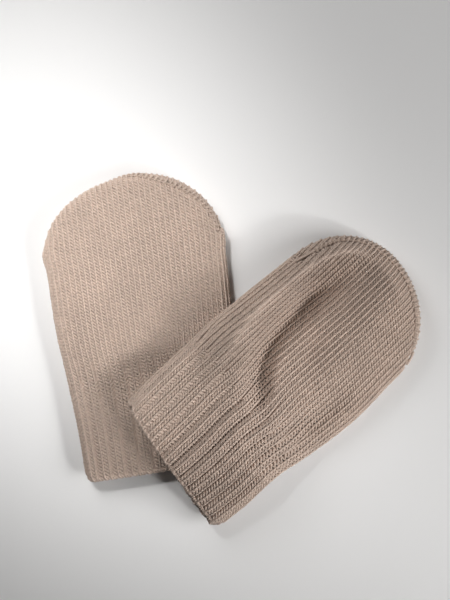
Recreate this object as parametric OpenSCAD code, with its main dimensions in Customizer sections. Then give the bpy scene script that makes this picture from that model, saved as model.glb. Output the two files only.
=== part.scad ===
// A pair of thumbless knitted baby mittens, one lying across the other.
// Millimetres, +Z up, the lower mitten's palm rests on Z = 0.

/* [Overall] */
// Length of each mitten from cuff edge to fingertip
mitt_l = 115.5; // [95:0.5:150]
// Width of the hand where the finger seam ends
hand_w = 69.6; // [56:0.2:90]
// Width of the cuff at its mouth
cuff_w = 61.4; // [48:0.2:80]
// Length of the ribbed cuff
cuff_l = 38; // [28:0.5:50]
// Height of the finger dome above the ends of its seam
dome_h = 27; // [20:0.5:36]

/* [Fabric] */
// Thickness of the knitted fabric
wall = 2; // [1.4:0.1:2.6]
// Thickness of a mitten at its folded sides
edge_t = 9.6; // [8.6:0.1:13]
// Extra fullness in the middle of the lower mitten
low_puff = 1.2; // [0.4:0.1:3]
// Fullness in the middle of the upper mitten
up_puff = 6; // [2:0.5:9]
// Height of the long fold down one side of the upper mitten
ridge_h = 9; // [3:0.5:12]
// Depth of the grooves between the ribs
rib_d = 0.9; // [0.3:0.1:1.2]
// Number of ribs across one face of a cuff
rib_n = 11; // [7:1:15]

/* [Edges and seam] */
// Depth of the cast-on edge along the mitten
welt_l = 2.4; // [1.6:0.1:4]
// Extra thickness of the cast-on edge on each side
welt_t = 0.3; // [0.1:0.1:0.6]
// Thickness of the linked finger seam
seam_t = 1.4; // [0.8:0.1:2]
// How far the seam stands out of the outline
seam_out = 0.9; // [0.4:0.1:1.6]
// Width of the seam allowance inside
seam_in = 3; // [2:0.1:5]
// Thickness of the thread round the allowance's edge
thread_d = 1.8; // [1:0.1:2.4]

/* [Lie] */
// Heading of the lower mitten
low_head = 97.5; // [90:0.5:105]
// Heading of the upper mitten's cuff
up_head = 34; // [28:0.5:40]
// Turn of the upper mitten at its wrist
up_turn = 9.5; // [4:0.5:14]
// Cuff mouth of the lower mitten, left to right
low_x = -26; // [-40:0.1:-10]
// Cuff mouth of the lower mitten, front to back
low_y = -46.7; // [-60:0.1:-30]
// Cuff mouth of the upper mitten, left to right
up_x = -23.7; // [-40:0.1:-10]
// Cuff mouth of the upper mitten, front to back
up_y = -43.3; // [-60:0.1:-30]
// Gap between the two mittens
lie_gap = 0.5; // [0.4:0.1:1.5]
// How far past the lower mitten the upper one takes to reach the table
drape = 34; // [22:1:45]

/* [Flex lines] */
// Lower mitten's flex line, from the cuff mouth
low_flex = 68; // [62:0.5:76]
// Upper mitten's flex line, from the cuff mouth
up_flex = 74; // [64:0.5:82]
// Gap between the fabric on the two sides of a flex line
flex_gap = 0.8; // [0.6:0.1:1.4]

/* [Clearances] */
// Gap between the seam and the fabric on each side of it
seam_gap = 0.18; // [0.1:0.02:0.3]

/* [Hidden] */
// Middle of the pair's outline, which is set over the origin
mid_x = -0.43;
mid_y = -0.46;
// Where the seam ends, measured from the cuff mouth
shoulder = mitt_l - dome_h;
// Half of the folded side's thickness
er = edge_t / 2;
// Half the seam's thickness
sg = seam_t / 2;
// Reach of the rows that bend the upper mitten at its wrist
turn_a = cuff_l - 10;
turn_b = cuff_l + 14;
// Headings of the upper mitten after its turn, and the turn's radius
up_head2 = up_head + up_turn;
turn_r = (turn_b - turn_a) / (up_turn * PI / 180);

function clamp(v, a, b) = max(a, min(b, v));
function sm(v) = let (u = clamp(v, 0, 1)) u * u * (3 - 2 * u);
function bell(v) = exp(-v * v);

// ---- where a mitten lies: m is 0 for the lower one and 1 for the upper one ----
// Middle line of a mitten, and its heading, at distance t from the cuff mouth
function head(m, t) = m == 0 ? low_head
  : up_head + up_turn * clamp((t - turn_a) / (turn_b - turn_a), 0, 1);
function ahead(h) = [cos(h), sin(h)];
function aside(h) = [sin(h), -cos(h)];
function mid_low(t) = [low_x, low_y] + t * ahead(low_head);
function mid_up(t) =
  t < turn_a ? [up_x, up_y] + t * ahead(up_head)
  : t < turn_b ? mid_up(turn_a - 0.0001) + turn_r * (aside(head(1, t)) - aside(up_head))
  : mid_up(turn_b - 0.0001) + (t - turn_b) * ahead(up_head2);
function mid_line(m, t) = m == 0 ? mid_low(t) : mid_up(t);
function plan(m, s, t) = mid_line(m, t) + s * aside(head(m, t));

// ---- outline ----
// Half width of the tube; the upper mitten is fuller and so a little narrower
function half_w(m, t) = cuff_w / 2 + (m == 0 ? 1 : 0.35)
  * (hand_w - cuff_w) / 2 * sm((t - 0.4 * cuff_l) / (1.2 * cuff_l));
// Sideways shift of the upper mitten's middle line
function shift(m, t) = m == 0 ? 0
  : -4 * sm(t / (0.8 * cuff_l)) + 2.8 * sm((t - cuff_l) / (1.2 * cuff_l))
    - 3.2 * sm((t - shoulder) / dome_h);
// Roundness of the dome
dome_n = 1.9;
function dome_end(x, d) = d * pow(max(0, 1 - pow(abs(x), dome_n)), 1 / dome_n);

// Distance in from an outline that is itself set in by k
function depth(m, s, t, k) =
  let (w = half_w(m, min(t, shoulder)) - k,
       u = abs(s) / w,
       v = max(0, t - shoulder) / (dome_h - k),
       q = pow(pow(u, dome_n) + pow(v, dome_n), 1 / dome_n),
       r0 = norm([s, max(0, t - shoulder)]))
  v == 0 ? w - abs(s) : q < 0.05 ? w : r0 * (1 / q - 1);
// Height of the rounded side above the middle plane
function round_h(r, d) = d >= r ? r : sqrt(max(0, r * r - (r - d) * (r - d)));

// ---- heights ----
// Fullness of the top face
function full_low(s, t) = low_puff * sm(depth(0, s, t, 0) / 16)
  * sm((t - 0.5 * cuff_l) / cuff_l);
// The upper mitten's long side fold and the hollow beside it
function fold_s(t) = -23 - 4 * sm((t - 47) / 41) + 6 * sm((t - shoulder) / dome_h);
function full_up(s, t) =
  let (e = sm(depth(1, s, t, 0) / 9), f = sm((t - 0.55 * cuff_l) / (0.8 * cuff_l)))
  e * (ridge_h * f * bell((s - fold_s(t)) / 7.5)
    + up_puff * (0.45 + 0.55 * f) * bell((s - 7) / 14));
function full(m, s, t) = m == 0 ? full_low(s, t) : full_up(s, t);

// Height of the surface that the upper mitten lies on
function lie(x, y) =
  let (p = [x - low_x, y - low_y],
       t = p * ahead(low_head),
       s = p * aside(low_head),
       out = max(abs(s) - half_w(0, clamp(t, 0, shoulder)), -t, t - mitt_l))
  lie_gap + (edge_t + low_puff + welt_t) * (1 - sm((out + 2) / drape));
function base(m, s, t) = m == 0 ? 0
  : let (p = plan(1, s + shift(1, t), t)) lie(p[0], p[1]);

// Ribs of the cuff: they fade out into the hand
function rib(m, s, t) =
  rib_d / 2 * (cos(180 * rib_n * s / half_w(m, t)) - 1)
  * (1 - sm((t - 0.9 * cuff_l) / (0.1 * cuff_l)));

// Half of the slot that the finger seam fills
function slot(t) = sg * sm((t - shoulder) / 3);

// A point of a face. up is 1 for the back and -1 for the palm, k the depth in
// the fabric (0 outside, wall inside), x across from -1 to 1, t along
function face_z(m, up, s, t, k, d) =
  let (r = er - k, h = round_h(r, d), z0 = base(m, s, t) + er)
  z0 + up * max(h, slot(t))
  + (up > 0 ? full(m, s, t) : 0)
  + (t < cuff_l ? up * (k == 0 ? rib(m, s, t) * sm(d / er) : 0) : 0);
function face_pt(m, up, s, t, k) =
  let (p = plan(m, s + shift(m, t), t))
  [p[0] - mid_x, p[1] - mid_y, face_z(m, up, s, t, k, depth(m, s, t, k))];

// Row y (0 to 1) and column x of the fabric between two lines across the mitten;
// b past the shoulder means the row of the seam
function row_t(x, y, a, b, k) = b > shoulder
  ? a + y * (shoulder + dome_end(x, dome_h - k) - a) : a + y * (b - a);
function cell(m, up, x, y, a, b, k) =
  let (t = row_t(x, y, a, b, k), w = half_w(m, min(t, shoulder)) - k)
  face_pt(m, up, x * w, t, k);

// A plate of fabric: an outer and an inner sheet of n by q cells with closed rims
module plate(m, up, a, b, xs, ys) {
  n = len(xs);
  q = len(ys);
  c = n * q;
  pts = [for (k = [0, wall]) for (y = ys) for (x = xs) cell(m, up, x, y, a, b, k)];
  function id(l, j, i) = l * c + j * n + i;
  sheet_out = [for (j = [0:q - 2]) for (i = [0:n - 2]) each
    [[id(0, j, i), id(0, j + 1, i), id(0, j + 1, i + 1)],
     [id(0, j, i), id(0, j + 1, i + 1), id(0, j, i + 1)]]];
  sheet_in = [for (j = [0:q - 2]) for (i = [0:n - 2]) each
    [[id(1, j, i), id(1, j + 1, i + 1), id(1, j + 1, i)],
     [id(1, j, i), id(1, j, i + 1), id(1, j + 1, i + 1)]]];
  rim_a = [for (i = [0:n - 2]) each
    [[id(0, 0, i), id(0, 0, i + 1), id(1, 0, i + 1)],
     [id(0, 0, i), id(1, 0, i + 1), id(1, 0, i)]]];
  rim_b = [for (i = [0:n - 2]) each
    [[id(0, q - 1, i), id(1, q - 1, i + 1), id(0, q - 1, i + 1)],
     [id(0, q - 1, i), id(1, q - 1, i), id(1, q - 1, i + 1)]]];
  rim_c = [for (j = [0:q - 2]) each
    [[id(0, j, 0), id(1, j + 1, 0), id(0, j + 1, 0)],
     [id(0, j, 0), id(1, j, 0), id(1, j + 1, 0)]]];
  rim_d = [for (j = [0:q - 2]) each
    [[id(0, j, n - 1), id(0, j + 1, n - 1), id(1, j + 1, n - 1)],
     [id(0, j, n - 1), id(1, j + 1, n - 1), id(1, j, n - 1)]]];
  all_faces = concat(sheet_out, sheet_in, rim_a, rim_b, rim_c, rim_d);
  polyhedron(pts, up > 0 ? all_faces : [for (f = all_faces) [f[0], f[2], f[1]]], 4);
}

// Columns closer together near the folded sides, and rows near the seam
function across(n) = [for (i = [0:n]) sin(-90 + 180 * i / n)];
function even(n) = [for (i = [0:n]) -1 + 2 * i / n];
function along(n) = [for (i = [0:n]) i / n];
function to_seam(n) = [for (i = [0:n]) sin(90 * i / n)];

module hand_plate(m, up, a, b) {
  plate(m, up, a, b, across(18), along(5));
}
module tip_plate(m, up, a) {
  plate(m, up, a, mitt_l, across(18), to_seam(9));
}
module cuff_plate(m, up, a, b) {
  plate(m, up, a, b, even(4 * rib_n), [0, 0.3, 0.6, 0.8, 0.9, 1]);
}

// A closed ring or open band: sections of c points, joined in order
module band(secs, c, closed) {
  n = len(secs);
  pts = [for (s = secs) each s];
  last = closed ? n - 1 : n - 2;
  sides = [for (i = [0:last]) for (j = [0:c - 1]) each
    [[i * c + j, ((i + 1) % n) * c + j, ((i + 1) % n) * c + (j + 1) % c],
     [i * c + j, ((i + 1) % n) * c + (j + 1) % c, i * c + (j + 1) % c]]];
  caps = closed ? [] : [[for (j = [0:c - 1]) j],
    [for (j = [c - 1:-1:0]) (n - 1) * c + j]];
  polyhedron(pts, concat(sides, caps), 4);
}

// Cast-on edge: a ring round the mouth, a little thicker than the fabric
function mouth_pt(m, up, x, t, k) =
  let (w = half_w(m, 0) - k, s = x * w, p = plan(m, s + shift(m, 0), t),
       d = w - abs(s), z0 = base(m, s, 0) + er)
  [p[0] - mid_x, p[1] - mid_y,
   z0 + up * round_h(er - k, d) + (up > 0 ? full(m, s, 0) : 0)];
module cuff_edge(m) {
  xs = across(22);
  n = len(xs);
  loop = concat([for (i = [0:n - 2]) [1, xs[i]]],
    [for (i = [n - 1:-1:1]) [-1, xs[i]]]);
  band([for (q = loop)
    [mouth_pt(m, q[0], q[1], -welt_l, 0.2),
     mouth_pt(m, q[0], q[1], -welt_l * 0.5, -welt_t * (m == 0 && q[0] < 0 ? 0 : 1)),
     mouth_pt(m, q[0], q[1], 0, 0),
     mouth_pt(m, q[0], q[1], 0, wall),
     mouth_pt(m, q[0], q[1], -welt_l, wall - 0.2)]], 5, true);
}

// Points of the finger seam: k in from the outline, z above the middle plane
function seam_pt(m, x, k, z) =
  let (w = half_w(m, shoulder), s = x * (w - k),
       t = shoulder + dome_end(x, dome_h - k),
       p = plan(m, s + shift(m, t), t))
  [p[0] - mid_x, p[1] - mid_y, base(m, s, t) + er + z];
seam_xs = [for (i = [0:26]) sin((-90 + 180 * i / 26) * 0.94)];
module tip_seam(m) {
  band([for (x = seam_xs)
    let (g = min(slot(shoulder + dome_end(x, dome_h)),
                 slot(shoulder + dome_end(x, dome_h - wall))) - seam_gap)
    [seam_pt(m, x, -seam_out, g * 0.6),
     seam_pt(m, x, 0, g),
     seam_pt(m, x, wall, g),
     seam_pt(m, x, wall + seam_in, g),
     seam_pt(m, x, wall + seam_in, -g),
     seam_pt(m, x, wall, -g),
     seam_pt(m, x, 0, -g),
     seam_pt(m, x, -seam_out, -g * 0.6)]], 8, false);
}
module seam_thread(m) {
  r = thread_d / 2;
  k0 = wall + seam_in + r;
  band([for (x = seam_xs) [for (j = [0:5])
    seam_pt(m, x, k0 - r * cos(60 * j), r * sin(60 * j))]], 6, false);
}

module lower_cuff_edge() { color("#b5a08f") cuff_edge(0); }
module lower_cuff_back() { color("#c2ad9c") cuff_plate(0, 1, 0, cuff_l); }
module lower_cuff_palm() { color("#b9a493") cuff_plate(0, -1, 0, cuff_l); }
module lower_hand_back() {
  color("#cdb9a8") hand_plate(0, 1, cuff_l, low_flex - flex_gap / 2);
}
module lower_hand_palm() {
  color("#bfab9a") hand_plate(0, -1, cuff_l, low_flex - flex_gap / 2);
}
module lower_tip_back() {
  color("#d2bfae") tip_plate(0, 1, low_flex + flex_gap / 2);
}
module lower_tip_palm() {
  color("#c4b09f") tip_plate(0, -1, low_flex + flex_gap / 2);
}
module lower_tip_seam() { color("#a8937f") tip_seam(0); }
module lower_seam_thread() { color("#8f7c6e") seam_thread(0); }
module upper_cuff_edge() { color("#a99482") cuff_edge(1); }
module upper_cuff_back() {
  color("#b5a18f") cuff_plate(1, 1, 0, cuff_l - flex_gap / 2);
}
module upper_cuff_palm() {
  color("#a8947f") cuff_plate(1, -1, 0, cuff_l - flex_gap / 2);
}
module upper_hand_back() {
  color("#bba796") hand_plate(1, 1, cuff_l + flex_gap / 2, up_flex - flex_gap / 2);
}
module upper_hand_palm() {
  color("#ad9987") hand_plate(1, -1, cuff_l + flex_gap / 2, up_flex - flex_gap / 2);
}
module upper_tip_back() {
  color("#c0ac9a") tip_plate(1, 1, up_flex + flex_gap / 2);
}
module upper_tip_palm() {
  color("#b29e8c") tip_plate(1, -1, up_flex + flex_gap / 2);
}
module upper_tip_seam() { color("#9c8877") tip_seam(1); }
module upper_seam_thread() { color("#857364") seam_thread(1); }

lower_cuff_edge();
lower_cuff_back();
lower_cuff_palm();
lower_hand_back();
lower_hand_palm();
lower_tip_back();
lower_tip_palm();
lower_tip_seam();
lower_seam_thread();
upper_cuff_edge();
upper_cuff_back();
upper_cuff_palm();
upper_hand_back();
upper_hand_palm();
upper_tip_back();
upper_tip_palm();
upper_tip_seam();
upper_seam_thread();
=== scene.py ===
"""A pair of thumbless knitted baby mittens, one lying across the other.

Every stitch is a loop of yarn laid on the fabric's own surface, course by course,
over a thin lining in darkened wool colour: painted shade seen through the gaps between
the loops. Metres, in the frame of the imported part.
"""

import math

import bmesh
import bpy
import numpy as np
from bpy.props import FloatProperty, FloatVectorProperty, PointerProperty
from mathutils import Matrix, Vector


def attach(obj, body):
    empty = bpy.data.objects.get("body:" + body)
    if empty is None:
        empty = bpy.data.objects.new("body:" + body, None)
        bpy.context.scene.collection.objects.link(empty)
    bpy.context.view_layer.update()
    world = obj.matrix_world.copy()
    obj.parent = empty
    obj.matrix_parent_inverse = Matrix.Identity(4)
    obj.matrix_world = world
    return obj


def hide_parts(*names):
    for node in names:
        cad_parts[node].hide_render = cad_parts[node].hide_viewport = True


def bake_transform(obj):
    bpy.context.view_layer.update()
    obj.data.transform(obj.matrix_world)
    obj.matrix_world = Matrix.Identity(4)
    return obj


bl_info = {
    "name": "Knitted mittens",
    "version": (1, 0, 0),
    "blender": (4, 5, 0),
    "location": "3D View > Sidebar > Mittens",
    "description": "Builds a pair of knitted baby mittens from loops of yarn",
    "category": "Add Mesh",
}

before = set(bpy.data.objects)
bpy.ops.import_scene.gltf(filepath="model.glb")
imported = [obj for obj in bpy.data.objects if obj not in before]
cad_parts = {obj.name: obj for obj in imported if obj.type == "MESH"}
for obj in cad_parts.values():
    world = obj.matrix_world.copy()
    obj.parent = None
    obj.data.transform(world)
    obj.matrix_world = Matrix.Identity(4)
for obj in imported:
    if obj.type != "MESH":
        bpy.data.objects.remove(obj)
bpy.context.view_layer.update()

# ---------------------------------------------------------------- sizes, in mm
CUFF_L = 38.0  # length of the ribbed cuff
SHOULDER = 88.5  # where the finger seam ends, from the cuff mouth
WALL = 2.0  # thickness of the fabric
EDGE_T = 9.6  # thickness of a mitten at its folded sides
EDGE_R = EDGE_T / 2
MITT_L = 115.5  # length of a mitten, from the cuff mouth to the top of the dome
LOW_PUFF = 1.2  # fullness of the lower mitten
MID = np.array([-0.43, -0.46])  # middle of the pair, which lies at the origin
LOW, UP = 0, 1
NAMES = ("lower", "upper")

# Outlines: how far the left and the right side lie from the middle line, along the
# mitten, then the dome's height, its highest point across and its roundness
LEFT = {
    LOW: ((0, 30.5), (15, 30.9), (38, 32.6), (58, 34.5), (SHOULDER, 35.1)),
    UP: ((0, 29.8), (15, 32.6), (33, 35.2), (42, 35.9), (63, 34.9), (SHOULDER, 32.7)),
}
RIGHT = {
    LOW: ((0, 30.7), (15, 31.2), (38, 32.6), (58, 34.2), (SHOULDER, 34.8)),
    UP: ((0, 31.0), (15, 29.4), (33, 26.8), (42, 28.2), (63, 30.5), (SHOULDER, 29.3)),
}
DOME_H = {LOW: 27.1, UP: 29.7}
APEX = {LOW: 0.15, UP: -0.10}
ROUND = {LOW: (2.0, 1.85), UP: (2.02, 1.95)}
MOUTH = {LOW: (1.1, 0.7), UP: (0.3, 0.6)}  # how far the cuff edge is drawn in, and its tilt
OPEN_CORNER = {LOW: 2.5, UP: 5.5}  # height of the dome below which a side wale ends at the outline
SEAM_ENDS = {LOW: (-72, 76), UP: (-63, 71)}  # in degrees round the dome
JOIN_END = {LOW: 84, UP: 79}  # where the join under the seam ends
CORNER = {LOW: (1.0, 0.6), UP: (0.0, 0.3)}  # how far each end of the seam sticks out


def smooth(v):
    u = np.clip(v, 0.0, 1.0)
    return u * u * (3 - 2 * u)


def bell(v):
    return np.exp(-np.square(v))


def through(t, knots):
    """A smooth curve through a few (place, value) knots."""
    x, y = np.array(knots, float).T
    slope = np.gradient(y, x)
    t = np.clip(t, x[0], x[-1])
    i = np.clip(np.searchsorted(x, t) - 1, 0, len(x) - 2)
    h = x[i + 1] - x[i]
    u = (t - x[i]) / h
    rise = h * (slope[i] * u * (1 - u) ** 2 - slope[i + 1] * u**2 * (1 - u))
    return y[i] * (1 + 2 * u) * (1 - u) ** 2 + y[i + 1] * u**2 * (3 - 2 * u) + rise


# ---------------------------------------------------------------- how each mitten lies
MOUTH_AT = {LOW: (-26.0, -46.7), UP: (-23.7, -43.3)}  # middle of each cuff mouth
LOW_HEADING = math.radians(97.5)
UP_HEADING = 34.0  # in degrees, at the cuff
UP_TURN = 9.5  # how far the upper mitten bends to the left at the wrist
TURN_FROM, TURN_TO = CUFF_L - 10, CUFF_L + 14


def heading(m, t):
    if m == LOW:
        return np.full(np.shape(t), LOW_HEADING)
    turned = np.clip((t - TURN_FROM) / (TURN_TO - TURN_FROM), 0, 1)
    return np.radians(UP_HEADING + UP_TURN * turned)


def middle(m, t):
    """Middle line of a mitten at distance t from its mouth."""
    t = np.asarray(t, float)
    x0, y0 = MOUTH_AT[m]
    if m == LOW:
        return x0 + t * math.cos(LOW_HEADING), y0 + t * math.sin(LOW_HEADING)
    r = (TURN_TO - TURN_FROM) / math.radians(UP_TURN)
    h0, h1, h = math.radians(UP_HEADING), math.radians(UP_HEADING + UP_TURN), heading(m, t)
    t0, t2 = np.minimum(t, TURN_FROM), np.maximum(t - TURN_TO, 0)
    x = x0 + t0 * math.cos(h0) + r * (np.sin(h) - math.sin(h0)) + t2 * math.cos(h1)
    y = y0 + t0 * math.sin(h0) - r * (np.cos(h) - math.cos(h0)) + t2 * math.sin(h1)
    return x, y


def half_w(m, t):
    return (through(t, LEFT[m]) + through(t, RIGHT[m])) / 2


def centre(m, t):
    return (through(t, RIGHT[m]) - through(t, LEFT[m])) / 2


def sideways(m, x, t):
    """Distance from the middle line of the point x (-1 to 1) across."""
    corner = np.where(x < 0, CORNER[m][0], CORNER[m][1]) * np.abs(x) ** 6
    out = corner * bell((t - SHOULDER + 1.0) / 4.0)
    return centre(m, t) + x * (half_w(m, t) + out)


def plan(m, x, t):
    px, py = middle(m, t)
    h = heading(m, t)
    s = sideways(m, x, t)
    return px + s * np.sin(h), py - s * np.cos(h)


def across_dome(m, x):
    """Place across the dome from its highest point, and the roundness on that side."""
    a = APEX[m]
    u = np.where(x > a, (x - a) / (1 - a), (a - x) / (1 + a))
    return u, np.where(x > a, ROUND[m][1], ROUND[m][0])


def dome_end(m, x):
    u, n = across_dome(m, x)
    return DOME_H[m] * np.power(np.maximum(0, 1 - np.power(u, n)), 1 / n)


def inset(m, x, t):
    """Distance in from the outline."""
    w = half_w(m, t)
    v = np.maximum(0, t - SHOULDER)
    u, n = across_dome(m, x)
    q = np.maximum(np.power(np.power(u, n) + np.power(v / DOME_H[m], n), 1 / n), 0.05)
    r0 = np.hypot((x - APEX[m]) * w, v)
    return np.where(v <= 0, w * (1 - np.abs(x)), np.where(q <= 0.05, w, r0 * (1 / q - 1)))


def round_h(d):
    """Half the height of the rounded side at distance d in from the outline."""
    return np.sqrt(np.maximum(0, EDGE_R**2 - np.square(np.maximum(0, EDGE_R - np.maximum(d, 0)))))


# Folds of the upper mitten: height, half width, line of (t, s), where it starts and
# ends along the mitten, and over what length it fades there
FOLDS = (
    (9.5, 6.8, ((20, -20), (47, -23.5), (88, -26.5), (112, -19)), 20, 34, 125, 6),
    (7.0, 13.5, ((0, 4), (50, 9), (SHOULDER, 7), (117, 3)), -30, 60, 130, 10),
    (-6.2, 4.6, ((36, 3), (43, -2), (57, -12.5), (79, -15), (99, -13)), 36, 13, 106, 26),
    (-2.4, 3.6, ((40, 17), (52, 20.5), (66, 22)), 40, 10, 74, 16),
    (1.2, 4.2, ((34, 9), (44, 10.5), (60, 15)), 30, 14, 66, 20),
    (1.0, 4.2, ((34, -10), (46, -14), (54, -20)), 28, 14, 60, 18),
)
LOW_FOLDS = (
    (-1.7, 26.0, ((0, -4), (60, -4)), 24, 11, 50, 12),
    (-0.8, 9.0, ((0, 12), (110, 14)), 46, 10, 100, 34),
    (0.7, 10.0, ((0, -14), (110, -10)), 50, 20, 112, 20),
)


def fullness(m, x, t):
    """Height of the back face above a plain flat mitten."""
    d = inset(m, x, t)
    s = sideways(m, x, t)
    e = smooth(d / 8.5)
    out = LOW_PUFF * smooth(d / 16) * smooth((t - 0.5 * CUFF_L) / CUFF_L) if m == LOW else 0.0
    for high, wide, line, start, fade_in, end, fade_out in FOLDS if m == UP else LOW_FOLDS:
        near = bell((s - through(t, line)) / wide)
        along = smooth((t - start) / fade_in) * (1 - smooth((t - end + fade_out) / fade_out))
        out = out + e * high * near * along
    return out


LIE_GAP = 0.5  # clearance under the upper mitten
LIE_SLOPE = 34.0  # how far out from the lower mitten the upper one comes down to the floor
# Half width of the lower cuff, how much it widens, where that starts and over what length
LIE_SIDE = (30.7, 4.1, 15.2, 45.6)


def lie(x, y):
    """Height of the surface that the upper mitten lies on."""
    x0, y0 = MOUTH_AT[LOW]
    h = LOW_HEADING
    dx, dy = x - x0, y - y0
    t = dx * math.cos(h) + dy * math.sin(h)
    s = dx * math.sin(h) - dy * math.cos(h)
    cuff, gain, start, length = LIE_SIDE
    side = cuff + gain * smooth((np.clip(t, 0, SHOULDER) - start) / length)
    out = np.maximum(np.abs(s) - side, np.maximum(-t, t - MITT_L))
    return LIE_GAP + (EDGE_T + LOW_PUFF + 0.3) * (1 - smooth((out + 2) / LIE_SLOPE))


def face(m, side, x, t):
    """Outer surface of the back (side 1) or the palm (side -1), in mm."""
    px, py = plan(m, x, t)
    z = EDGE_R + (lie(px, py) if m == UP else 0.0) + side * round_h(inset(m, x, t))
    if side > 0:
        z = z + fullness(m, x, t)
    return np.stack([px - MID[0], py - MID[1], z + 0 * px], -1)


# ---------------------------------------------------------------- the knitted tube
WALES = 75  # stitches round the tube
RIB = 3  # two knit wales and one purl wale
CUFF_ROWS = 28
COURSE = 1.28
RISE = {LOW: (-2.5, 4.0), UP: (5.0, 1.5)}  # how far the seam's ends lie up the rounded sides
BACK_WALES = {LOW: 36, UP: 34}
SUB = 3  # samples of the surface to each wale
STEP = COURSE / 2  # and along it
ACROSS = 161  # points of a face from side to side
WALE_EASE = 5.0  # length over which the wales are evened out
FOLD_EASE = 0.65  # share of a fold's height that the wales stretch over
PURL_W = 0.34  # width of a purl wale in a drawn-in rib, of a plain wale
OPEN_W = 0.60  # and where the rib lies flat
RIB_FADE = 14.0  # courses over which the ribs run out into the hand


def row_q(k):
    """Distance along the mitten of course k."""
    k = np.asarray(k, float)
    c = CUFF_L / CUFF_ROWS
    return np.where(k < CUFF_ROWS, k * c, CUFF_L + (k - CUFF_ROWS) * COURSE)


def arc(points):
    step = np.linalg.norm(np.diff(points, axis=0), axis=1)
    return np.concatenate([[0], np.cumsum(step)])


def steady(rows, spread, turn):
    """Each row evened out along its length; the values go round once every turn."""
    reach = int(3 * spread)
    kernel = bell(np.arange(-reach, reach + 1) / (1.414 * spread))
    kernel = kernel / kernel.sum()
    flat = np.unwrap(rows, axis=1, period=turn)
    flat = np.pad(flat, ((0, 0), (reach, reach)), mode="edge")
    return np.mod([np.convolve(row, kernel, mode="valid") for row in flat], turn)


def seam_rise(m, x):
    """How far up the rounded edge the seam lies at x, from -1 to 1 across."""
    if m == LOW:
        return -2.5 + 7.8 * smooth((x + 0.25) / 0.7) + 5 * smooth((x - 0.86) / 0.14)
    return 4.9 + 9 * smooth((-0.74 - x) / 0.2) - 3.2 * smooth((x - 0.8) / 0.2)


def dome_path(m, x):
    """Over the dome at x: up the back to the outline and down the palm, and the seam."""
    t = SHOULDER + float(dome_end(m, x)) * np.sin(np.linspace(0, math.pi / 2, 56))
    x = np.full(t.shape, x)
    path = np.concatenate([face(m, 1, x, t), face(m, -1, x, t)[::-1][1:]])
    a = arc(path)
    edge = a[len(t) - 1]
    return path, a, float(np.clip(edge - seam_rise(m, x[0]), 0, a[-1]))


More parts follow.
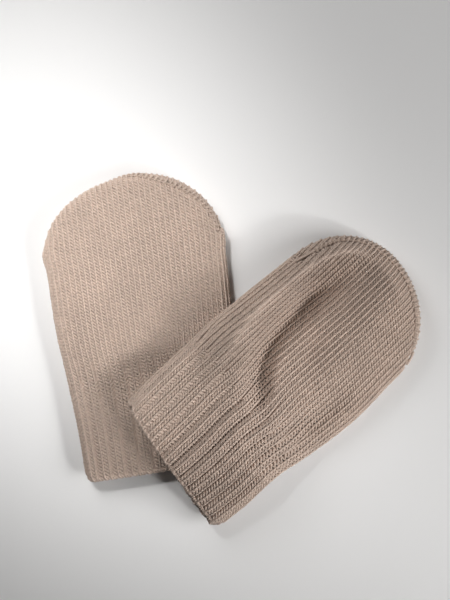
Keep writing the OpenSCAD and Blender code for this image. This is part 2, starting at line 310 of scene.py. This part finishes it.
class Fabric:
    """The surface of one mitten by wale and by distance along the wale."""

    def __init__(self, m):
        self.m = m
        across = np.sin(np.linspace(-math.pi / 2, math.pi / 2, ACROSS))
        q_tube = np.append(np.arange(0, SHOULDER - 0.3, STEP), SHOULDER)
        steps = np.arange(1, 84) * STEP
        tube, where = self.lay_tube(across, q_tube)
        dome, end = self.lay_dome(across, where, steps)
        self.grid = np.concatenate([tube, dome], 1)
        self.q = np.concatenate([q_tube, SHOULDER + steps])
        self.end = SHOULDER + end
        self.normals = self.find_normals()

    def lay_tube(self, across, q_tube):
        """The wales from the mouth to the shoulder, and where each reaches it."""
        m, nu, nb = self.m, WALES * SUB, BACK_WALES[self.m]
        number = np.arange(2 * len(across) - 1)
        tube = np.zeros((nu, len(q_tube), 3))
        where = np.zeros((nu, len(q_tube)))
        sections = []
        u = np.arange(nu) / SUB
        for i, t in enumerate(q_tube):
            at = np.full(across.shape, t)
            back, palm = face(m, 1, across, at), face(m, -1, across[::-1], at)
            loop = np.concatenate([back, palm[1:]])
            measured = np.concatenate([back, palm[1:]])
            measured[: len(back), 2] -= FOLD_EASE * fullness(m, across, at)
            a = arc(measured)
            half = a[len(back) - 1]
            lo, hi = RISE[m][0], half - RISE[m][1]
            on_back = lo + (hi - lo) * u / nb
            on_palm = hi + (a[-1] - hi + lo) * (u - nb) / (WALES - nb)
            place = np.mod(np.where(u < nb, on_back, on_palm), a[-1])
            where[:, i] = np.interp(place, a, number)
            sections.append(loop)
        # the wales run in smooth lines from course to course
        where = steady(where, WALE_EASE / STEP, number[-1])
        for i, loop in enumerate(sections):
            for c in range(3):
                tube[:, i, c] = np.interp(where[:, i], number, loop[:, c])
        return tube, where[:, -1]

    def lay_dome(self, across, where, steps):
        """The wales over the finger dome: each runs straight on until the seam cuts it."""
        m, nu = self.m, WALES * SUB
        number = np.arange(2 * len(across) - 1)
        loop_x = np.concatenate([across, across[::-1][1:]])
        wale_x = np.clip(np.interp(where, number, loop_x), -0.9995, 0.9995)
        starts_on_back = where < len(across) - 1
        dome = np.zeros((nu, len(steps), 3))
        end = np.zeros(nu)
        for j in range(nu):
            path, a, cut = dome_path(m, wale_x[j])
            # close to the sides there is no seam, and the faces meet at the outline
            if float(dome_end(m, wale_x[j])) < OPEN_CORNER[m]:
                cut = a[len(a) // 2]
            if starts_on_back[j]:
                at, end[j] = np.minimum(steps, cut), cut
            else:
                at, end[j] = np.maximum(a[-1] - steps, cut), a[-1] - cut
            for c in range(3):
                dome[j, :, c] = np.interp(at, a, path[:, c])
        return dome, end

    def find_normals(self):
        g = self.grid
        along = np.gradient(g, axis=1)
        normal = np.cross(np.roll(g, -1, 0) - np.roll(g, 1, 0), along)
        size = np.linalg.norm(normal, axis=-1, keepdims=True)
        stuck = size[..., 0] < 1e-3
        normal = normal / np.maximum(size, 1e-9)
        for i in range(1, g.shape[1]):
            normal[stuck[:, i], i] = normal[stuck[:, i], i - 1]
        return normal

    def place(self, u, q):
        """Points and outward normals at wale u and distance q along it."""
        u = np.mod(np.asarray(u, float), WALES)
        nb = BACK_WALES[self.m]
        across = np.where(u < nb, 2 * u / nb - 1, 1 - 2 * (u - nb) / (WALES - nb))
        low, tilt = MOUTH[self.m]
        shift = (low + tilt * across) * (1 - smooth(q / 24))
        # the mouth's corners are rounded and its edge is rolled in
        shift = shift + 2.2 * np.abs(across) ** 12 * (1 - smooth(q / 9))
        rolled = 0.8 * bell(np.maximum(q, 0) / 1.5)
        q = q + shift
        u = u * SUB
        j0 = np.floor(u).astype(int)
        fu = (u - j0)[..., None]
        j0 = j0 % (WALES * SUB)
        j1 = (j0 + 1) % (WALES * SUB)
        qi = np.interp(q, self.q, np.arange(len(self.q)))
        i0 = np.minimum(np.floor(qi).astype(int), len(self.q) - 2)
        fq = (qi - i0)[..., None]
        found = []
        for g in (self.grid, self.normals):
            a = g[j0, i0] * (1 - fq) + g[j0, i0 + 1] * fq
            b = g[j1, i0] * (1 - fq) + g[j1, i0 + 1] * fq
            found.append(a * (1 - fu) + b * fu)
        point, n = found
        n = n / np.maximum(np.linalg.norm(n, axis=-1, keepdims=True), 1e-9)
        end = self.end[j0] * (1 - fu[..., 0]) + self.end[j1] * fu[..., 0]
        sink = 0.75 * bell((end - q) / 1.7) * (q > SHOULDER) + rolled
        return point - n * sink[..., None], n

    def rows_at(self, j):
        """How many courses wale j has before the seam."""
        columns = (int(j) % WALES * SUB + np.arange(SUB + 1)) % (WALES * SUB)
        e = self.end[columns].min()
        return int((e - CUFF_L) / COURSE) + CUFF_ROWS


# One loop of yarn: across the wale, along it, and out of the fabric. The left leg slants
# up to the left; the right leg runs straight on into the loop above.
KNIT = np.array(
    [
        (0.00, -0.30, -0.60),
        (0.36, -0.34, -0.46),
        (0.70, -0.20, -0.02),
        (0.44, 0.12, 0.14),
        (0.17, 0.40, 0.06),
        (0.10, 0.76, -0.36),
        (0.38, 1.02, -0.60),
        (0.76, 1.12, -0.34),
        (0.87, 0.92, 0.36),
        (0.87, 0.48, 0.52),
        (0.87, 0.04, 0.44),
        (0.96, -0.18, -0.14),
    ]
)


def rib_spread(x, narrow):
    """Moves the wales of a rib: the two knit wales widen and the purl wale closes up."""
    rib, r = np.floor(x / RIB), np.mod(x, RIB)
    knit = (RIB - narrow) / 2
    return rib * RIB + np.where(r < 2, r * knit, 2 * knit + (r - 2) * narrow)


def groove(x):
    """1 in the middle of each purl wale, 0 on the ribs."""
    r = np.mod(x, RIB)
    return bell((r - 2.5) / 0.5) + bell((r + 0.5) / 0.5)


def drawn_in(m, x):
    """How far the rib is drawn in at wale x: the upper cuff lies flatter on its left."""
    if m == LOW:
        return np.full(np.shape(x), 0.85)
    return smooth((np.mod(x, WALES) - 8) / 9.0)


def rib_depth(m):
    """The depth of the grooves between the ribs, as a function of the wale."""
    if m == LOW:
        return lambda x: np.full(np.shape(x), 1.1)
    return lambda x: 0.7 + 1.4 * drawn_in(m, x)


def purl_w(m, x):
    """Width of the purl wale of the rib at x."""
    return OPEN_W + (PURL_W - OPEN_W) * drawn_in(m, np.floor(x / RIB) * RIB)


def rib_fade(row):
    """1 in the cuff, falling to 0 in the courses above it, where the ribs run out."""
    return 1 - float(smooth((row - 0.9 * CUFF_ROWS) / RIB_FADE))


def loops(fabric, row, j0, j1, depth):
    """The yarn of one course from wale j0 to wale j1, as points in mm."""
    js = np.arange(j0, j1)
    n = len(js)
    x = (js[:, None] + KNIT[None, :, 0]).ravel()
    y = np.tile(KNIT[:, 1], n)
    z = np.tile(KNIT[:, 2], n)
    x, y, z = np.append(x, j1), np.append(y, KNIT[0, 1]), np.append(z, KNIT[0, 2])
    wale = np.append(np.repeat(js, len(KNIT)), j1 - 1)
    rng = np.random.default_rng(1000 * fabric.m + 7 * row + j0)
    y = y + np.repeat(rng.normal(0, 0.03, n + 1), len(KNIT))[: len(y)]
    z = z + np.repeat(rng.normal(0, 0.035, n + 1), len(KNIT))[: len(z)]
    if row < CUFF_ROWS:
        purl = np.mod(wale, RIB) == 2
        z = np.where(purl, -z, z)
    fade = rib_fade(row)
    if fade > 0:
        z = z - fade * depth(x) * groove(x)
        x = x + fade * (rib_spread(x, purl_w(fabric.m, x)) - x)
    base, normal = fabric.place(x, row_q(row + y))
    out = WALL / 2 + 0.04
    return base + normal * (z - out)[:, None]


# ---------------------------------------------------------------- making things
def yarn_profile(radius, sides=5):
    data = bpy.data.curves.new("yarn_profile", "CURVE")
    data.dimensions = "2D"
    sp = data.splines.new("POLY")
    sp.points.add(sides - 1)
    for i in range(sides):
        a = 2 * math.pi * i / sides
        sp.points[i].co = (radius * math.cos(a), radius * math.sin(a), 0, 1)
    sp.use_cyclic_u = True
    ob = bpy.data.objects.new("yarn_profile", data)
    bpy.context.scene.collection.objects.link(ob)
    return ob


def yarn_piece(name, runs, radius, sides=5):
    """A mesh of yarn that follows each run of points, given in mm."""
    profile = yarn_profile(radius / 1000, sides)
    data = bpy.data.curves.new(name, "CURVE")
    data.dimensions = "3D"
    data.twist_mode = "MINIMUM"
    data.bevel_mode = "OBJECT"
    data.bevel_object = profile
    data.use_fill_caps = True
    data.resolution_u = 1
    for pts in runs:
        closed = isinstance(pts, tuple)
        p = np.asarray(pts[0] if closed else pts) / 1000
        sp = data.splines.new("POLY")
        sp.points.add(len(p) - 1)
        sp.points.foreach_set("co", np.c_[p, np.ones(len(p))].ravel())
        sp.use_cyclic_u = closed
    curve = bpy.data.objects.new(name + "_path", data)
    bpy.context.scene.collection.objects.link(curve)
    bpy.context.view_layer.update()
    dg = bpy.context.evaluated_depsgraph_get()
    mesh = bpy.data.meshes.new_from_object(curve.evaluated_get(dg), depsgraph=dg)
    mesh.name = name
    ob = bpy.data.objects.new(name, mesh)
    bpy.context.scene.collection.objects.link(ob)
    for o in (curve, profile):
        d = o.data
        bpy.data.objects.remove(o)
        bpy.data.curves.remove(d)
    mesh.polygons.foreach_set("use_smooth", np.ones(len(mesh.polygons), bool))
    mesh.materials.clear()
    return ob


def grid_piece(name, nu, nv, where, closed):
    """A sheet of nu by nv cells, each corner placed by where(i, j) in mm."""
    bm = bmesh.new()
    bmesh.ops.create_grid(bm, x_segments=nu, y_segments=nv, size=0.5)
    bm.verts.ensure_lookup_table()
    ij = np.array([[round((v.co.x + 0.5) * nu), round((v.co.y + 0.5) * nv)] for v in bm.verts])
    pos = where(ij[:, 0], ij[:, 1]) / 1000
    for v, p in zip(bm.verts, pos):
        v.co = p
    if closed:
        bmesh.ops.remove_doubles(bm, verts=bm.verts, dist=2e-6)
    bmesh.ops.recalc_face_normals(bm, faces=bm.faces)
    mesh = bpy.data.meshes.new(name)
    bm.to_mesh(mesh)
    bm.free()
    mesh.polygons.foreach_set("use_smooth", np.ones(len(mesh.polygons), bool))
    ob = bpy.data.objects.new(name, mesh)
    bpy.context.scene.collection.objects.link(ob)
    return ob


# ---------------------------------------------------------------- wool
def wool(name, colour, dark, light, bump=0.35):
    """Matt, slightly heathered wool with a fibrous surface and a soft sheen."""
    mat = bpy.data.materials.new(name)
    mat.use_nodes = True
    nt = mat.node_tree
    nodes, link = nt.nodes, nt.links.new
    shader = nodes["Principled BSDF"]
    shader.inputs["Roughness"].default_value = 0.92
    shader.inputs["Specular IOR Level"].default_value = 0.18
    shader.inputs["Sheen Weight"].default_value = 0.25
    shader.inputs["Sheen Roughness"].default_value = 0.55
    shader.inputs["Sheen Tint"].default_value = (1.0, 0.95, 0.9, 1.0)
    coords = nodes.new("ShaderNodeTexCoord")
    # broad, soft differences in the dye
    broad = nodes.new("ShaderNodeTexNoise")
    broad.inputs["Scale"].default_value = 55.0
    broad.inputs["Detail"].default_value = 3.0
    link(coords.outputs["Object"], broad.inputs["Vector"])
    # heather: short flecks of lighter and darker fibre
    fleck = nodes.new("ShaderNodeTexNoise")
    fleck.inputs["Scale"].default_value = 900.0
    fleck.inputs["Detail"].default_value = 4.0
    fleck.inputs["Roughness"].default_value = 0.7
    link(coords.outputs["Object"], fleck.inputs["Vector"])
    ramp = nodes.new("ShaderNodeValToRGB")
    ramp.color_ramp.elements[0].position = 0.30
    ramp.color_ramp.elements[0].color = (*dark, 1)
    ramp.color_ramp.elements[1].position = 0.72
    ramp.color_ramp.elements[1].color = (*light, 1)
    middle_stop = ramp.color_ramp.elements.new(0.5)
    middle_stop.color = (*colour, 1)
    link(fleck.outputs["Fac"], ramp.inputs["Fac"])
    tone = nodes.new("ShaderNodeMapRange")
    tone.inputs["From Min"].default_value = 0.3
    tone.inputs["From Max"].default_value = 0.7
    tone.inputs["To Min"].default_value = 0.93
    tone.inputs["To Max"].default_value = 1.07
    link(broad.outputs["Fac"], tone.inputs["Value"])
    mix = nodes.new("ShaderNodeMix")
    mix.data_type = "RGBA"
    mix.blend_type = "MULTIPLY"
    mix.inputs["Factor"].default_value = 1.0
    link(ramp.outputs["Color"], mix.inputs["A"])
    link(tone.outputs["Result"], mix.inputs["B"])
    link(mix.outputs["Result"], shader.inputs["Base Color"])
    # fibres: fine bump
    fibre = nodes.new("ShaderNodeTexNoise")
    fibre.inputs["Scale"].default_value = 2600.0
    fibre.inputs["Detail"].default_value = 3.0
    link(coords.outputs["Object"], fibre.inputs["Vector"])
    bumps = nodes.new("ShaderNodeBump")
    bumps.inputs["Strength"].default_value = bump
    bumps.inputs["Distance"].default_value = 0.0003
    link(fibre.outputs["Fac"], bumps.inputs["Height"])
    link(bumps.outputs["Normal"], shader.inputs["Normal"])
    return mat


def mittens():
    return bpy.context.scene.mitten_sizes


def finishes():
    """The wools, made once."""
    have = bpy.data.materials.get("knit_wool")
    if have is None:
        c = np.array(mittens().wool_colour)
        wool("knit_wool", c, c * 0.80, np.minimum(c * 1.14, 1))
        wool("rib_wool", c * 0.97, c * 0.78, np.minimum(c * 1.10, 1))
        # painted shade: the lining and the seam allowance are the wool darkened to under a third,
        # so the gaps between the loops read as shadowed hollows; at the finger ends the lining is
        # darkened less, to a shaded recess
        wool("painted_shade_wool", c * 0.30, c * 0.24, c * 0.36)
        wool("tip_painted_shade_wool", c * 0.72, c * 0.60, c * 0.82)
        wool("seam_wool", c * 0.95, c * 0.76, np.minimum(c * 1.10, 1))
    return bpy.data.materials


BODIES = {
    LOW: ("lower_mitten", "lower_mitten", "lower_finger_end"),
    UP: ("upper_cuff", "upper_mitten", "upper_finger_end"),
}
FLEX = {LOW: 68.0, UP: 74.0}
HALF_BEND = {LOW: 11.0, UP: 12.0}


def follow(ob, m, zone):
    """Attaches a piece to the body of its hand; the upper cuff's pieces and the finger-end pieces
    are only fixed in place.
    """
    cuff, hand, tip = BODIES[m]
    if zone == "cuff" and cuff != hand:
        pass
    elif zone == "tip":
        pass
    else:
        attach(ob, hand)
        return ob
    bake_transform(ob)
    return ob


FABRICS = {}


def fabric(m):
    if m not in FABRICS:
        FABRICS[m] = Fabric(m)
    return FABRICS[m]


def zones(m):
    """Rows of the cuff, hand and tip pieces, so that each crosses one flex line at most."""
    a = CUFF_ROWS + 11
    b = CUFF_ROWS + int((FLEX[m] - HALF_BEND[m] - CUFF_L) / COURSE)
    return {"cuff": (0, a), "hand": (a, b), "tip": (b, 200)}


def knit_zone(m, zone):
    """The yarn of one zone of a mitten: a back piece and a palm piece."""
    f = fabric(m)
    r0, r1 = zones(m)[zone]
    nb = BACK_WALES[m]
    made = []
    for label, j0, j1 in (("back", 0, nb), ("palm", nb, WALES)):
        runs = []
        tall = [f.rows_at(j) for j in range(j0, j1)]
        for row in range(r0, min(r1, max(tall) + 1)):
            have = [j for j, n in zip(range(j0, j1), tall) if n >= row]
            if not have:
                continue
            cuts = [i for i in range(1, len(have)) if have[i] != have[i - 1] + 1]
            for lo, hi in zip([0] + cuts, cuts + [len(have)]):
                runs.append(loops(f, row, have[lo], have[hi - 1] + 1, rib_depth(m)))
        name = f"{NAMES[m]}_{zone}_{label}_yarn"
        # the palm tips have the most loops, so their yarn has four sides
        sides = 4 if (zone, label) == ("tip", "palm") else 5
        ob = yarn_piece(name, runs, mittens().yarn_radius * 1000, sides)
        ob.data.materials.append(finishes()["rib_wool" if zone == "cuff" else "knit_wool"])
        made.append(ob)
    return made


LINING_DEPTH = {"cuff": 2.7, "hand": 1.55, "tip": 1.35}


def lining(m, zone):
    """The close layer behind the loops, from one row to another, coloured dark as painted shade.
    """
    f = fabric(m)
    r0, r1 = zones(m)[zone]
    made = []
    nb = BACK_WALES[m]
    for label, j0, j1 in (("back", 0, nb), ("palm", nb, WALES)):
        q0 = float(row_q(r0))
        q1 = float(row_q(min(r1, 200)))
        nu = (j1 - j0) * 2
        nv = 30 if zone != "tip" else 46

        def where(i, k, j0=j0, q0=q0, q1=q1, nv=nv):
            u = j0 + i / 2
            e = f.end[(np.round(u * SUB).astype(int)) % (WALES * SUB)]
            top = np.minimum(q1, e) if zone == "tip" else np.full(u.shape, q1)
            q = q0 + (top - q0) * k / nv
            p, n = f.place(u, q)
            return p - n * LINING_DEPTH[zone]

        ob = grid_piece(f"{NAMES[m]}_{zone}_{label}_lining", nu, nv, where, False)
        solid = ob.modifiers.new("cloth", "SOLIDIFY")
        solid.thickness = 0.0004
        solid.offset = 0.0
        # painted shade: dark behind the loops, lighter at the finger ends, where the gaps read as
        # a shaded recess
        ob.data.materials.append(finishes()["tip_painted_shade_wool" if zone == "tip" else "painted_shade_wool"])
        made.append(ob)
    return made


def coil(core, out, along, radius, turns, per_turn=8):
    """A yarn that winds round a core line, closer at its two ends: ways out and
    sideways are given for each point of the line."""
    a = arc(core)
    n = int(turns * per_turn)
    at = np.linspace(0, a[-1], n)
    c = np.stack([np.interp(at, a, core[:, k]) for k in range(3)], -1)
    o = np.stack([np.interp(at, a, out[:, k]) for k in range(3)], -1)
    w = np.stack([np.interp(at, a, along[:, k]) for k in range(3)], -1)
    i = np.arange(n)
    ang = 2 * math.pi * i / per_turn
    full = 0.3 + 0.7 * smooth(np.minimum(i, n - 1 - i) / (2.0 * per_turn))
    high, wide = radius
    return c + o * (full * high * np.cos(ang))[:, None] + w * (full * wide * np.sin(ang))[:, None]


def cuff_edge(m):
    """The cast-on row: a loop of yarn over the rolled edge at each wale."""
    f = fabric(m)
    k = WALES * 10
    wale = np.arange(k) / 10
    u = rib_spread(wale, purl_w(m, wale))
    p, n = f.place(u, np.full(u.shape, 0.2))
    p2, _ = f.place(u, np.full(u.shape, 2.2))
    ahead = (p - p2) / 2.0
    drop = rib_depth(m)(wale) * groove(wale) + 1.0
    core = p - n * drop[:, None]
    ang = 2 * math.pi * wale
    wind = core + n * (0.62 * np.cos(ang))[:, None] + ahead * (0.55 * np.sin(ang))[:, None]
    runs = [(wind,), (core,)]
    ob = yarn_piece(f"{NAMES[m]}_cuff_edge_yarn", runs, 0.42)
    ob.data.materials.append(finishes()["rib_wool"])
    return ob


def seam_line(m, lo, hi, count=181):
    """Points of the seam between two angles round the dome, with the ways out of the
    fabric and across the seam."""
    xs = np.sin(np.radians(np.linspace(lo, hi, count)))
    points, over = [], []
    for x in xs:
        path, a, cut = dome_path(m, x)
        ends = [[np.interp(cut + k, a, path[:, c]) for c in range(3)] for k in (-0.4, 0, 0.4)]
        points.append(ends[1])
        over.append(np.subtract(ends[2], ends[0]))
    points, over = np.array(points), np.array(over)
    for _ in range(10):
        points[1:-1] = (points[:-2] + 2 * points[1:-1] + points[2:]) / 4
        over[1:-1] = (over[:-2] + 2 * over[1:-1] + over[2:]) / 4
    tangent = np.gradient(points, axis=0)
    tangent /= np.linalg.norm(tangent, axis=1, keepdims=True)
    over -= tangent * (over * tangent).sum(1, keepdims=True)
    over /= np.maximum(np.linalg.norm(over, axis=1, keepdims=True), 1e-9)
    return points, np.cross(tangent, over), over


def finger_seam(m):
    """The linked seam: a loop of yarn over the joined edges at each wale."""
    points, out, over = seam_line(m, *SEAM_ENDS[m])
    hub = points.mean(0)
    if ((points - hub) * out).sum() < 0:
        out = -out
    away = arc(points)
    deep = 0.95 + 0.9 * bell(away / 3.0) + 0.9 * bell((away[-1] - away) / 3.0)
    centre = points - out * deep[:, None]
    turns = int(away[-1] / 1.9)
    runs = [
        coil(centre, out, over, (0.95, 1.05), turns, 10),
        centre + 0.25 * out + 0.5 * over,
        centre + 0.25 * out - 0.5 * over,
    ]
    # beyond its ends two strands run on over the join
    for first, last in ((-JOIN_END[m], SEAM_ENDS[m][0] + 4), (SEAM_ENDS[m][1] - 4, JOIN_END[m])):
        line, away_out, beside = seam_line(m, first, last, 41)
        if ((line - hub) * away_out).sum() < 0:
            away_out = -away_out
        runs += [line - 0.45 * away_out + k * beside for k in (-0.42, 0.42)]
    ob = yarn_piece(f"{NAMES[m]}_finger_seam_yarn", runs, 0.42)
    ob.data.materials.append(finishes()["seam_wool"])
    return ob


def allowance(m):
    """The seam allowance inside the dome and the thread that binds its edge."""
    xs = np.sin(np.linspace(-1.47, 1.47, 61))

    def at(x, k):
        shrink = 1 - k / half_w(m, SHOULDER)
        t = SHOULDER + dome_end(m, x) * (1 - k / DOME_H[m])
        px, py = plan(m, x * shrink, t)
        z = EDGE_R + (lie(px, py) if m == UP else 0.0)
        return np.stack([px - MID[0], py - MID[1], z + 0 * px], -1)

    def where(i, k):
        return at(xs[i], 1.6 + 3.2 * k / 4)

    band = grid_piece(f"{NAMES[m]}_seam_allowance", 60, 4, where, False)
    solid = band.modifiers.new("cloth", "SOLIDIFY")
    solid.thickness = 0.0011
    solid.offset = 0.0
    # painted shade: the allowance inside the dome takes the darkened lining wool
    band.data.materials.append(finishes()["painted_shade_wool"])
    core = at(np.sin(np.linspace(-1.45, 1.45, 200)), 5.6)
    tangent = np.gradient(core, axis=0)
    tangent /= np.linalg.norm(tangent, axis=1, keepdims=True)
    up = np.tile([0.0, 0.0, 1.0], (len(core), 1))
    side = np.cross(up, tangent)
    turns = int(arc(core)[-1] / 1.5)
    thread = yarn_piece(
        f"{NAMES[m]}_binding_thread_coil", [coil(core, side, up, (0.8, 0.7), turns, 8)], 0.2, 4
    )
    thread.data.materials.append(finishes()["seam_wool"])
    return band, thread


# ---------------------------------------------------------------- sizes and colours to change
class MittenSizes(bpy.types.PropertyGroup):
    """Sizes and colours of the yarn"""

    yarn_radius: FloatProperty(
        name="Yarn radius",
        description="Half the thickness of the yarn in the fabric",
        default=0.00042,
        min=0.0003,
        max=0.0006,
        subtype="DISTANCE",
        unit="LENGTH",
        precision=5,
    )
    wool_colour: FloatVectorProperty(
        name="Wool colour",
        description="Colour of the dyed wool",
        default=(0.60, 0.475, 0.40),
        size=3,
        min=0.0,
        max=1.0,
        subtype="COLOR",
    )


class StageSizes(bpy.types.PropertyGroup):
    """Floor, lights and camera"""

    floor_size: FloatProperty(
        name="Floor size",
        description="Width of the floor under the pair",
        default=6.0,
        min=1.0,
        max=20.0,
        subtype="DISTANCE",
        unit="LENGTH",
    )
    camera_height: FloatProperty(
        name="Camera height",
        description="Height of the camera above the floor",
        default=0.62,
        min=0.3,
        max=2.0,
        subtype="DISTANCE",
        unit="LENGTH",
    )


# ---------------------------------------------------------------- operators
class MITTENS_OT_cuffs(bpy.types.Operator):
    """Knit the ribbed cuffs and their cast-on edges"""

    bl_idname = "mittens.cuffs"
    bl_label = "Ribbed cuffs"

    def execute(self, context):
        for m in (LOW, UP):
            back, palm = knit_zone(m, "cuff")
            follow(back, m, "cuff")
            follow(palm, m, "cuff")
            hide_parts(f"{NAMES[m]}_cuff_back")
            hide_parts(f"{NAMES[m]}_cuff_palm")
            for ob in lining(m, "cuff"):
                follow(ob, m, "cuff")
            edge = cuff_edge(m)
            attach(edge, BODIES[m][0])
            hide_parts(f"{NAMES[m]}_cuff_edge")
        return {"FINISHED"}


class MITTENS_OT_hands(bpy.types.Operator):
    """Knit the plain fabric of the hands"""

    bl_idname = "mittens.hands"
    bl_label = "Hands"

    def execute(self, context):
        for m in (LOW, UP):
            back, palm = knit_zone(m, "hand")
            follow(back, m, "hand")
            follow(palm, m, "hand")
            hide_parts(f"{NAMES[m]}_hand_back")
            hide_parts(f"{NAMES[m]}_hand_palm")
            for ob in lining(m, "hand"):
                follow(ob, m, "hand")
        return {"FINISHED"}


class MITTENS_OT_finger_ends(bpy.types.Operator):
    """Knit the round finger ends"""

    bl_idname = "mittens.finger_ends"
    bl_label = "Finger ends"

    def execute(self, context):
        for m in (LOW, UP):
            back, palm = knit_zone(m, "tip")
            follow(back, m, "tip")
            follow(palm, m, "tip")
            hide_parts(f"{NAMES[m]}_tip_back")
            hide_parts(f"{NAMES[m]}_tip_palm")
            for ob in lining(m, "tip"):
                follow(ob, m, "tip")
        return {"FINISHED"}


class MITTENS_OT_seams(bpy.types.Operator):
    """Link the finger seams and bind their allowances inside"""

    bl_idname = "mittens.seams"
    bl_label = "Finger seams"

    def execute(self, context):
        for m in (LOW, UP):
            seam = finger_seam(m)
            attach(seam, BODIES[m][2])
            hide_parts(f"{NAMES[m]}_tip_seam")
            band, thread = allowance(m)
            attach(band, BODIES[m][2])
            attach(thread, BODIES[m][2])
            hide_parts(f"{NAMES[m]}_seam_thread")
        return {"FINISHED"}


VIEW_HEIGHT = 0.2298  # how much the camera sees from top to bottom
PAIR_MID_Z = 0.008  # at this height above the floor


class MITTENS_OT_stage(bpy.types.Operator):
    """Set the floor, the soft light and the camera"""

    bl_idname = "mittens.stage"
    bl_label = "Stage"

    def execute(self, context):
        sizes = context.scene.mitten_stage
        bm = bmesh.new()
        bmesh.ops.create_grid(bm, x_segments=1, y_segments=1, size=sizes.floor_size / 2)
        mesh = bpy.data.meshes.new("floor")
        bm.to_mesh(mesh)
        bm.free()
        floor = bpy.data.objects.new("floor", mesh)
        context.scene.collection.objects.link(floor)
        paint = bpy.data.materials.new("pale_floor")
        paint.use_nodes = True
        p = paint.node_tree.nodes["Principled BSDF"]
        p.inputs["Base Color"].default_value = (0.9, 0.9, 0.9, 1)
        p.inputs["Roughness"].default_value = 0.9
        p.inputs["Specular IOR Level"].default_value = 0.1
        mesh.materials.append(paint)
        world = bpy.data.worlds.new("soft_room")
        world.use_nodes = True
        sky = world.node_tree.nodes["Background"]
        sky.inputs["Color"].default_value = (1.0, 0.99, 0.98, 1)
        sky.inputs["Strength"].default_value = 0.04
        context.scene.world = world
        # two soft boxes, and two spots for soft pools of light: place, aim, size, power, cone
        for name, place, aim, size, power, cone in (
            ("key_light", (-0.15, 0.20, 0.23), (0, 0, 0), 0.14, 0.335, 0),
            ("side_light", (0.42, -0.08, 0.30), (0, 0, 0), 0.26, 1.37, 0),
            ("left_pool", (-0.25, 0.35, 0.55), (-0.070, 0.049, 0.01), 0.15, 26.0, 14),
            ("right_pool", (0.50, -0.34, 0.42), (0.038, -0.047, 0.02), 0.16, 13.0, 16),
        ):
            data = bpy.data.lights.new(name, "SPOT" if cone else "AREA")
            if cone:
                data.spot_size = math.radians(cone)
                data.spot_blend = 1.0
                data.shadow_soft_size = size / 2
            else:
                data.shape = "SQUARE"
                data.size = size
            data.energy = power
            data.color = (1.0, 0.99, 0.98)
            lamp = bpy.data.objects.new(name, data)
            lamp.location = place
            lamp.rotation_euler = (Vector(aim) - Vector(place)).to_track_quat("-Z", "Y").to_euler()
            context.scene.collection.objects.link(lamp)
        data = bpy.data.cameras.new("camera")
        data.sensor_width = 36.0
        data.lens = 36.0 * (sizes.camera_height - PAIR_MID_Z) / VIEW_HEIGHT
        data.clip_start = 0.01
        cam = bpy.data.objects.new("camera", data)
        cam.location = (-0.00225, 0.02, sizes.camera_height)
        context.scene.collection.objects.link(cam)
        context.scene.camera = cam
        context.scene.view_settings.view_transform = "Standard"
        return {"FINISHED"}


class MITTENS_PT_panel(bpy.types.Panel):
    """Lists the steps that build the pair"""

    bl_label = "Knitted mittens"
    bl_idname = "MITTENS_PT_panel"
    bl_space_type = "VIEW_3D"
    bl_region_type = "UI"
    bl_category = "Mittens"

    def draw(self, context):
        layout = self.layout
        for group in (context.scene.mitten_sizes, context.scene.mitten_stage):
            for key in group.bl_rna.properties.keys():
                if key not in ("rna_type", "name"):
                    layout.prop(group, key)
        for step in STEPS:
            layout.operator(step.bl_idname)


STEPS = (
    MITTENS_OT_cuffs,
    MITTENS_OT_hands,
    MITTENS_OT_finger_ends,
    MITTENS_OT_seams,
    MITTENS_OT_stage,
)
CLASSES = (MittenSizes, StageSizes, *STEPS, MITTENS_PT_panel)


def register():
    for cls in CLASSES:
        bpy.utils.register_class(cls)
    bpy.types.Scene.mitten_sizes = PointerProperty(type=MittenSizes)
    bpy.types.Scene.mitten_stage = PointerProperty(type=StageSizes)


def unregister():
    del bpy.types.Scene.mitten_stage
    del bpy.types.Scene.mitten_sizes
    for cls in reversed(CLASSES):
        bpy.utils.unregister_class(cls)


def main():
    register()
    bpy.ops.mittens.cuffs()
    bpy.ops.mittens.hands()
    bpy.ops.mittens.finger_ends()
    bpy.ops.mittens.seams()
    bpy.ops.mittens.stage()


if __name__ == "__main__":
    main()
